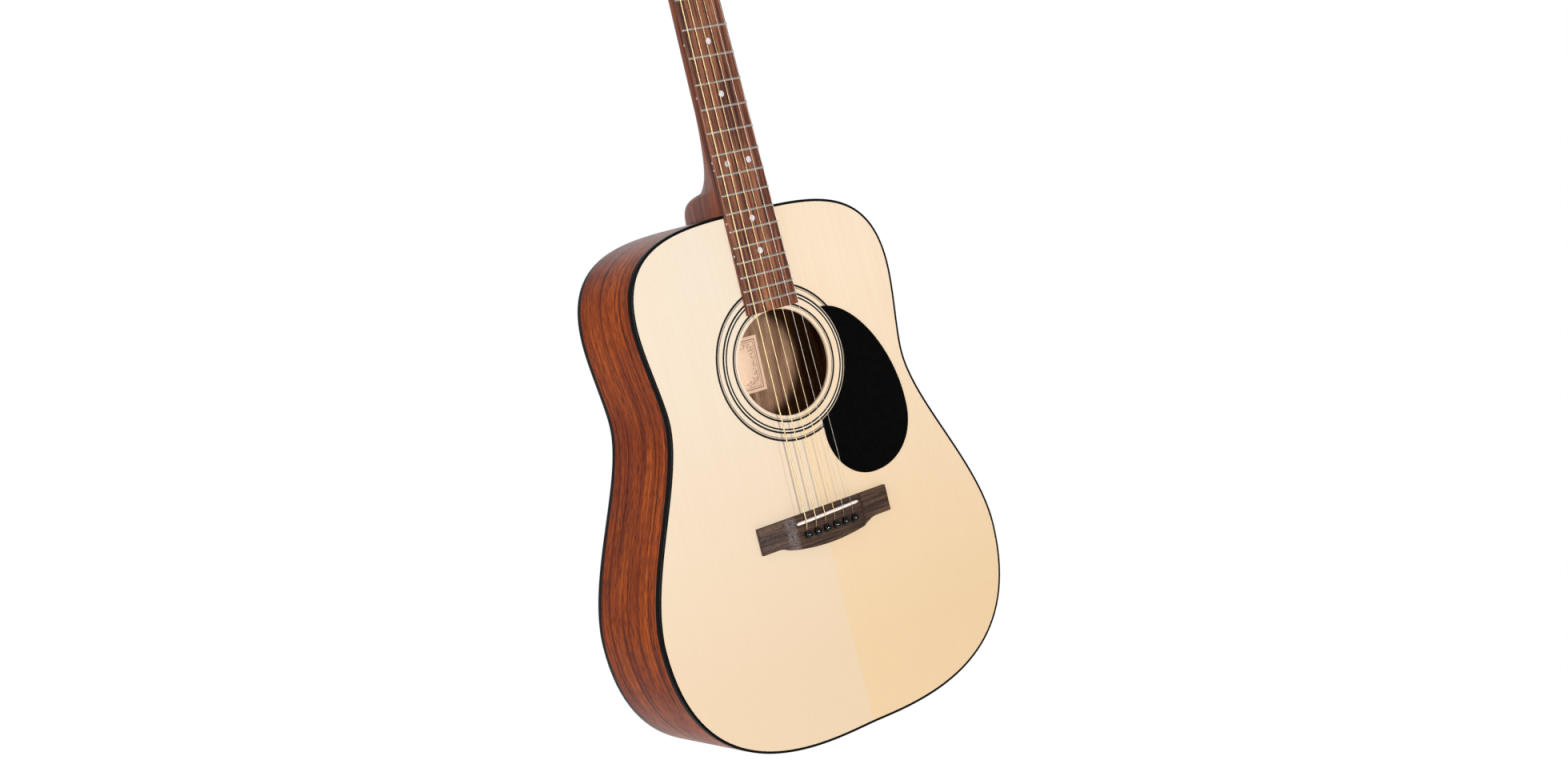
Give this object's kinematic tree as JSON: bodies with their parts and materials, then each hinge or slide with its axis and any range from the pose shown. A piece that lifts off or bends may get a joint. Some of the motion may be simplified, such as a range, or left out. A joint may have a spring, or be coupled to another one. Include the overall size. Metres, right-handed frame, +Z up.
{
  "type": "acoustic guitar",
  "caption": "Dreadnought steel-string acoustic guitar with geared tuners, fretted neck, soundhole, pinned bridge and pickguard.",
  "frame": {"origin": "on the centre line, in the plane of the soundboard's face, at the nut's edge towards the body", "axes": "+Z up the neck towards the headstock, -Y out of the soundboard towards the player's hand, +X towards the treble strings"},
  "size_m": [0.397, 0.1474, 1.0496],
  "materials": {
    "spruce_bass": "satin lacquered spruce, pale cream",
    "spruce_treble": "satin lacquered spruce, a little more orange",
    "brace_spruce": "bare sanded spruce",
    "mahogany": "satin lacquered mahogany",
    "inside_mahogany": "bare mahogany",
    "neck_mahogany": "satin lacquered mahogany",
    "fingerboard_wood": "bare oiled rosewood",
    "bridge_wood": "bare dark rosewood",
    "black_plastic": "glossy black",
    "ivory_plastic": "ivory white",
    "nickel": "plated",
    "steel": "plain",
    "plain_steel": "drawn plain wire",
    "bronze_wound": "round-wound bronze wire"
  },
  "bodies": {
    "guitar": {"soundboard_bass": "spruce_bass", "soundboard_treble": "spruce_treble", "back_plate": "mahogany", "side_bass": "mahogany", "side_treble": "mahogany", "tail_wedge": "black_plastic", "top_binding": "black_plastic", "back_binding": "black_plastic", "top_lining": "inside_mahogany", "back_lining": "inside_mahogany", "neck_block": "inside_mahogany", "tail_block": "inside_mahogany", "x_brace_bass": "brace_spruce", "x_brace_treble": "brace_spruce", "tone_bar_upper": "brace_spruce", "tone_bar_lower": "brace_spruce", "transverse_brace": "brace_spruce", "bridge_plate": "inside_mahogany", "back_brace_1": "brace_spruce", "back_brace_2": "brace_spruce", "back_brace_3": "brace_spruce", "back_brace_4": "brace_spruce", "bridge": "bridge_wood", "saddle": "ivory_plastic", "pickguard": "black_plastic", "rosette_ring": "black_plastic", "strap_button": "black_plastic", "neck": "neck_mahogany", "fingerboard": "fingerboard_wood", "nut": "ivory_plastic", "truss_rod": "steel", "headstock_veneer": "fingerboard_wood", "truss_rod_cover": "black_plastic", "tuner_plate_bass": "nickel", "tuner_plate_treble": "nickel", "string_1": "plain_steel", "string_2": "plain_steel", "string_3": "bronze_wound", "string_4": "bronze_wound", "string_5": "bronze_wound", "string_6": "bronze_wound"},
    "key_1": {"tuner_key_1": "nickel"},
    "post_1": {"tuner_post_1": "nickel"},
    "pin_1": {"bridge_pin_1": "black_plastic"},
    "key_2": {"tuner_key_2": "nickel"},
    "post_2": {"tuner_post_2": "nickel"},
    "pin_2": {"bridge_pin_2": "black_plastic"},
    "key_3": {"tuner_key_3": "nickel"},
    "post_3": {"tuner_post_3": "nickel"},
    "pin_3": {"bridge_pin_3": "black_plastic"},
    "key_4": {"tuner_key_4": "nickel"},
    "post_4": {"tuner_post_4": "nickel"},
    "pin_4": {"bridge_pin_4": "black_plastic"},
    "key_5": {"tuner_key_5": "nickel"},
    "post_5": {"tuner_post_5": "nickel"},
    "pin_5": {"bridge_pin_5": "black_plastic"},
    "key_6": {"tuner_key_6": "nickel"},
    "post_6": {"tuner_post_6": "nickel"},
    "pin_6": {"bridge_pin_6": "black_plastic"},
    "truss_nut": {"truss_rod_nut": "steel"}
  },
  "joints": [
    {"name": "key_1_turn", "type": "hinge", "parent": "guitar", "child": "key_1", "pos_m": [0.02279, 0.03302, 0.04536], "axis": [1, 0, 0], "continuous": true},
    {"name": "post_1_turn", "type": "hinge", "parent": "guitar", "child": "post_1", "pos_m": [0.02279, 0.03136, 0.03871], "axis": [0, -0.9703, 0.2419], "continuous": true},
    {"name": "key_2_turn", "type": "hinge", "parent": "guitar", "child": "key_2", "pos_m": [0.0235, 0.0427, 0.08417], "axis": [1, 0, 0], "continuous": true},
    {"name": "post_2_turn", "type": "hinge", "parent": "guitar", "child": "post_2", "pos_m": [0.0235, 0.04104, 0.07752], "axis": [0, -0.9703, 0.2419], "continuous": true},
    {"name": "key_3_turn", "type": "hinge", "parent": "guitar", "child": "key_3", "pos_m": [0.02421, 0.05237, 0.12298], "axis": [1, 0, 0], "continuous": true},
    {"name": "post_3_turn", "type": "hinge", "parent": "guitar", "child": "post_3", "pos_m": [0.02421, 0.05072, 0.11633], "axis": [0, -0.9703, 0.2419], "continuous": true},
    {"name": "key_4_turn", "type": "hinge", "parent": "guitar", "child": "key_4", "pos_m": [-0.02421, 0.05237, 0.12298], "axis": [1, 0, 0], "continuous": true},
    {"name": "post_4_turn", "type": "hinge", "parent": "guitar", "child": "post_4", "pos_m": [-0.02421, 0.05072, 0.11633], "axis": [0, -0.9703, 0.2419], "continuous": true},
    {"name": "key_5_turn", "type": "hinge", "parent": "guitar", "child": "key_5", "pos_m": [-0.0235, 0.0427, 0.08417], "axis": [1, 0, 0], "continuous": true},
    {"name": "post_5_turn", "type": "hinge", "parent": "guitar", "child": "post_5", "pos_m": [-0.0235, 0.04104, 0.07752], "axis": [0, -0.9703, 0.2419], "continuous": true},
    {"name": "key_6_turn", "type": "hinge", "parent": "guitar", "child": "key_6", "pos_m": [-0.02279, 0.03302, 0.04536], "axis": [1, 0, 0], "continuous": true},
    {"name": "post_6_turn", "type": "hinge", "parent": "guitar", "child": "post_6", "pos_m": [-0.02279, 0.03136, 0.03871], "axis": [0, -0.9703, 0.2419], "continuous": true},
    {"name": "pin_1_pull", "type": "slide", "parent": "guitar", "child": "pin_1", "axis": [0, -1, 0], "range_m": [0, 0.03]},
    {"name": "pin_2_pull", "type": "slide", "parent": "guitar", "child": "pin_2", "axis": [0, -1, 0], "range_m": [0, 0.03]},
    {"name": "pin_3_pull", "type": "slide", "parent": "guitar", "child": "pin_3", "axis": [0, -1, 0], "range_m": [0, 0.03]},
    {"name": "pin_4_pull", "type": "slide", "parent": "guitar", "child": "pin_4", "axis": [0, -1, 0], "range_m": [0, 0.03]},
    {"name": "pin_5_pull", "type": "slide", "parent": "guitar", "child": "pin_5", "axis": [0, -1, 0], "range_m": [0, 0.03]},
    {"name": "pin_6_pull", "type": "slide", "parent": "guitar", "child": "pin_6", "axis": [0, -1, 0], "range_m": [0, 0.03]},
    {"name": "truss_nut_turn", "type": "hinge", "parent": "guitar", "child": "truss_nut", "pos_m": [0, 0.007, 0.0078], "axis": [0, 0, 1], "range_deg": [-360, 360]}
  ],
  "couplings": [
    {"joint": "post_1_turn", "follows": "key_1_turn", "ratio": 0.071429},
    {"joint": "post_2_turn", "follows": "key_2_turn", "ratio": 0.071429},
    {"joint": "post_3_turn", "follows": "key_3_turn", "ratio": 0.071429},
    {"joint": "post_4_turn", "follows": "key_4_turn", "ratio": 0.071429},
    {"joint": "post_5_turn", "follows": "key_5_turn", "ratio": 0.071429},
    {"joint": "post_6_turn", "follows": "key_6_turn", "ratio": 0.071429}
  ]
}
